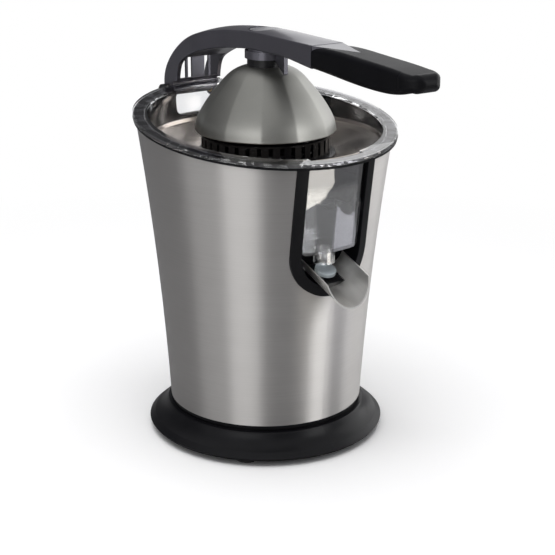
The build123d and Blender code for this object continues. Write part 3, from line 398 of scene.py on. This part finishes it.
# the press dome with soft gores: its widths are shares of its radius, its levels shares of its height
domeShape = {"foot": 0.2435, "height": 0.0497, "radius": 0.0551, "crown": 0.0145, "hole": 0.0082,
             "wall": 0.0015, "step": 0.0001, "crownStep": 0.0004,
             "levels": (0.0, 0.121, 0.252, 0.372, 0.503, 0.65, 0.771, 0.867, 0.948),
             "widths": (1.0, 0.98, 0.936, 0.878, 0.796, 0.695, 0.6, 0.515, 0.4), "degree": 7,
             "fineFrom": 0.9, "fineRows": 12, "coarseFrom": 0.88, "rows": 40, "lipRows": 5, "lipFrom": 0.15,
             "gores": 12, "depth": 0.36, "goresFade": 0.35, "turn": -8.0, "around": 288}


def domeOutline(look):
    # radius and height from the crown down to the lower edge: the radius is a polynomial of the height,
    # fitted to the widths, and is never more than the dome's own
    levels = (*look["levels"], 1.0)
    widths = (*look["widths"], look["crown"] / look["radius"])
    fit = np.polynomial.Polynomial.fit(levels, widths, look["degree"])
    level = np.concatenate([np.linspace(1.0, look["fineFrom"], look["fineRows"]),
                            np.linspace(look["coarseFrom"], 0.0, look["rows"])])
    return look["radius"] * np.minimum(fit(level), 1.0), look["foot"] + look["height"] * level


def domeProfile(look):
    # closed outline of the wall: flat crown round the hole, outside, half round lip, then the inside, which
    # is the outside moved in by the wall's thickness along its normal
    radius, height = domeOutline(look)
    run = np.hypot(np.gradient(radius), np.gradient(height))
    inR = radius + look["wall"] * np.gradient(height) / run
    inZ = height - look["wall"] * np.gradient(radius) / run
    lip = np.linspace(look["lipFrom"], 1 - look["lipFrom"], look["lipRows"]) * math.pi
    middle, half = (radius[-1] + inR[-1]) / 2, (radius[-1] - inR[-1]) / 2
    lipR, lipZ = middle + half * np.cos(lip), height[-1] + half * (1 - np.sin(lip))
    top, hole, step = look["foot"] + look["height"], look["hole"], look["step"]
    crownR = [hole, hole + step, look["crown"] - look["crownStep"]]
    crownZ = [top - step, top, top]
    underR = [hole + step, hole]
    underZ = [top - look["wall"], top - look["wall"] + step]
    return (np.concatenate([crownR, radius[1:-1], lipR, inR[-2:0:-1], underR]),
            np.concatenate([crownZ, height[1:-1], lipZ, inZ[-2:0:-1], underZ]))


def domeSurface(look):
    # the profile swept round the axis; the radius is multiplied by a mix of a circle and a polygon:
    # r = R (1 - d + d cos(pi/n) / cos(phi)), with phi the angle from the middle of the nearest gore
    radius, height = domeProfile(look)
    angle = np.arange(look["around"]) * 2 * math.pi / look["around"]
    part = 2 * math.pi / look["gores"]
    phi = np.mod(angle - math.radians(look["turn"]), part) - part / 2
    fade = np.clip((radius - look["crown"]) / (look["goresFade"] * look["radius"]), 0, 1)
    depth = look["depth"] * fade * fade * (3 - 2 * fade)
    r = radius[:, None] * (1 - depth[:, None] * (1 - math.cos(part / 2) / np.cos(phi)[None, :]))
    z = np.repeat(height[:, None], len(angle), 1)
    return np.stack([axisX + r * np.cos(angle), r * np.sin(angle), z], -1)


def ringFaces(rows, columns):
    # faces of a grid that closes on itself both ways
    i, j = np.meshgrid(np.arange(rows), np.arange(columns), indexing="ij")
    below, beside = (i + 1) % rows, (j + 1) % columns
    corners = [i * columns + j, i * columns + beside, below * columns + beside, below * columns + j]
    return np.stack(corners, -1).reshape(-1, 4).tolist()


domePoints = domeSurface(domeShape)
pressDome = meshPiece("pressDome", domePoints, ringFaces(*domePoints.shape[:2]))
pressDome.data.materials.append(finishes["dome_steel"])
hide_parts("press_dome")
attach(pressDome, "lever")
print("stage: press dome built")


# the press spring, built at one length; the real spring shortens when the cone is pressed
springShape = {"wire": 0.00055, "radius": 0.0082, "turns": 3.5, "travel": 0.0025, "tip": 0.00001,
               "along": 170, "around": 14}


def springSurface(look, low, high):
    # a round wire carried along a helix: the wire's middle stands at the helix's radius and climbs evenly
    # with the angle; across, it is a circle in the plane of the radius and the upright; the ends are tips
    share = np.linspace(0, 1, look["along"])
    angle = 2 * math.pi * look["turns"] * share
    climb = low + look["wire"] + (high - low - 2 * look["wire"]) * share
    wire = np.full(look["along"], look["wire"])
    wire[[0, -1]] = look["tip"]
    around = np.arange(look["around"]) * 2 * math.pi / look["around"]
    r = look["radius"] + wire[:, None] * np.cos(around)
    z = climb[:, None] + wire[:, None] * np.sin(around)
    return np.stack([axisX + r * np.cos(angle)[:, None], r * np.sin(angle)[:, None], z], -1)


def tubeFaces(rows, columns):
    # faces of a grid that closes on itself round the wire only, and a cap at each end
    i, j = np.meshgrid(np.arange(rows - 1), np.arange(columns), indexing="ij")
    beside = (j + 1) % columns
    corners = [i * columns + j, (i + 1) * columns + j, (i + 1) * columns + beside, i * columns + beside]
    last = rows * columns - 1
    caps = [list(range(columns)), list(range(last, last - columns, -1))]
    return np.stack(corners, -1).reshape(-1, 4).tolist() + caps


springLow, springHigh = (corner[2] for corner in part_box("press_spring"))
springPoints = springSurface(springShape, springLow, springHigh)
pressSpring = meshPiece("pressSpring", springPoints, tubeFaces(*springPoints.shape[:2]))
pressSpring.data.materials.append(finishes[slotOf["press_spring"]])
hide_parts("press_spring")
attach(pressSpring, "body")
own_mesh(pressSpring)
print("stage: press spring built")


def rayKinds(start):
    # 1 for a ray from the eye, through clear plastic, and from a shiny surface
    kinds = ("Is Camera Ray", "Is Transmission Ray", "Is Glossy Ray")
    return [start.add("ShaderNodeLightPath", output=kind) for kind in kinds]


floorLook = {"half": 6.0, "seen": (1, 1, 1), "lit": (0.93, 0.93, 0.93), "mirrored": (0.16, 0.16, 0.165),
             "dimmed": 0.82, "near": 0.30, "far": 0.75}


def paleFinish(name, look):
    # plain pale diffuse floor; far from the object it is plain white to the eye and through the clear
    # plastic, and metal sees it dimmer
    material = bpy.data.materials.new(name)
    material.use_nodes = True
    tree = material.node_tree
    tree.nodes.remove(tree.nodes["Principled BSDF"])
    start = Wire(tree)
    x, y = start.add("ShaderNodeTexCoord", output="Object").parts()[:2]
    away = ((fromAxis(x, y) - look["near"]) / (look["far"] - look["near"])).clamped()
    seen, through, glossy = rayKinds(start)
    lit = start.add("ShaderNodeBsdfDiffuse", {}, {"Color": (*look["lit"], 1)})
    dim = start.add("ShaderNodeBsdfDiffuse", {}, {"Color": (*look["mirrored"], 1)})
    plain = start.add("ShaderNodeEmission", {}, {"Color": (*look["seen"], 1), "Strength": 1.0})
    ground = start.add("ShaderNodeMixShader", {}, {0: glossy * look["dimmed"], 1: lit, 2: dim})
    whole = start.add("ShaderNodeMixShader", {}, {0: away * seen.orElse(through), 1: ground, 2: plain})
    feed(whole, tree.nodes["Material Output"], "Surface")
    return material


half = floorLook["half"]
floorCorners = [(-half, -half, 0), (half, -half, 0), (half, half, 0), (-half, half, 0)]
floorMesh = bpy.data.meshes.new("floor")
floorMesh.from_pydata(floorCorners, [], [(0, 1, 2, 3)])
floor = bpy.data.objects.new("floor", floorMesh)
bpy.context.collection.objects.link(floor)
floorMesh.materials.append(paleFinish("paleFloor", floorLook))

# the top lamp lights the object; the others are soft boxes and cards that only its reflections show
softBox = {"aim": (0, 0, 0.1), "wide": 0.86, "tall": 1.1, "tint": (1.0, 1.0, 1.0), "roll": 0.0,
           "lights": False, "mirrored": True}
lamps = [
    dict(softBox, name="topLamp", place=(0.1, -0.2, 1.7), wide=1.6, tall=1.6, power=27.0,
         lights=True, mirrored=False),
    dict(softBox, name="frontLamp", place=(0.72, -1.14, 0.55), power=7.5),
    dict(softBox, name="leftLamp", place=(-0.11, -1.37, 0.55), power=2.4),
    dict(softBox, name="sideLamp", place=(1.19, 0.62, 0.55), wide=0.56, power=8.6),
    dict(softBox, name="rightLamp", place=(0.149, 1.35, 0.55), wide=1.15, power=9.0),
    dict(softBox, name="backLamp", place=(-0.82, 1.10, 0.6), aim=(0, 0, 0.2), wide=1.0, tall=1.2,
         power=4.6),
    dict(softBox, name="creamCard", place=(0.53, 0.11, 0.004), aim=(0.53, 0.11, 1), wide=0.25, tall=0.28,
         power=0.50, tint=(1.0, 0.96, 0.88)),
    dict(softBox, name="paleCard", place=(0.20, 0.26, 0.004), aim=(0.20, 0.26, 1), wide=0.19, tall=0.22,
         power=0.10, tint=(0.90, 0.90, 1.0), roll=45.0),
]


def softLamp(look):
    # rectangular lamp that looks at its aim
    lamp = bpy.data.lights.new(look["name"], "AREA")
    lamp.shape = "RECTANGLE"
    lamp.size = look["wide"]
    lamp.size_y = look["tall"]
    lamp.energy = look["power"]
    lamp.color = look["tint"]
    holder = bpy.data.objects.new(look["name"], lamp)
    bpy.context.collection.objects.link(holder)
    holder.location = look["place"]
    turn = Vector(look["aim"]) - Vector(look["place"])
    holder.rotation_euler = turn.to_track_quat("-Z", "Y").to_euler()
    holder.rotation_euler.rotate_axis("Z", math.radians(look["roll"]))
    holder.visible_camera = False
    holder.visible_diffuse = look["lights"]
    holder.visible_glossy = look["mirrored"]


for lampLook in lamps:
    softLamp(lampLook)

airLook = {"seen": (1, 1, 1), "lit": (0.5, 0.5, 0.51), "sides": (0.14, 0.14, 0.145),
           "ceiling": (0.95, 0.95, 0.95), "from": 0.55, "over": 0.3}


def studioAir(name, look):
    # white to the eye and through the clear plastic, an even pale light on everything, and in reflections
    # dim sides under a bright ceiling
    world = bpy.data.worlds.new(name)
    world.use_nodes = True
    background = world.node_tree.nodes["Background"]
    start = Wire(world.node_tree)
    seen, through, glossy = rayKinds(start)
    upward = start.add("ShaderNodeTexCoord", output="Generated").parts()[2]
    mirrored = shade(((upward - look["from"]) / look["over"]).clamped(), look["sides"], look["ceiling"])
    air = shade(glossy, look["lit"], mirrored)
    feed(shade(seen.orElse(through), air, look["seen"]), background, "Color")
    background.inputs["Strength"].default_value = 1.0
    return world


bpy.context.scene.world = studioAir("studio", airLook)

viewLook = {"place": (0.87939 + axisX, -0.60179, 0.47962), "aim": (0.00548 + axisX, 0.00786, 0.12185),
            "lens": 90.81, "sensor": 36.0, "roll": 0.18, "near": 0.05, "far": 30.0}
lensData = bpy.data.cameras.new("view")
lensData.lens = viewLook["lens"]
lensData.sensor_width = viewLook["sensor"]
lensData.sensor_fit = "HORIZONTAL"
lensData.clip_start = viewLook["near"]
lensData.clip_end = viewLook["far"]
viewer = bpy.data.objects.new("view", lensData)
bpy.context.collection.objects.link(viewer)
viewer.location = viewLook["place"]
aimed = (Vector(viewLook["aim"]) - Vector(viewLook["place"])).to_track_quat("-Z", "Y").to_matrix()
viewer.rotation_euler = (aimed @ Matrix.Rotation(math.radians(viewLook["roll"]), 3, "Z")).to_euler()
bpy.context.scene.camera = viewer
bpy.context.scene.view_settings.view_transform = "Standard"
print("stage: studio set")
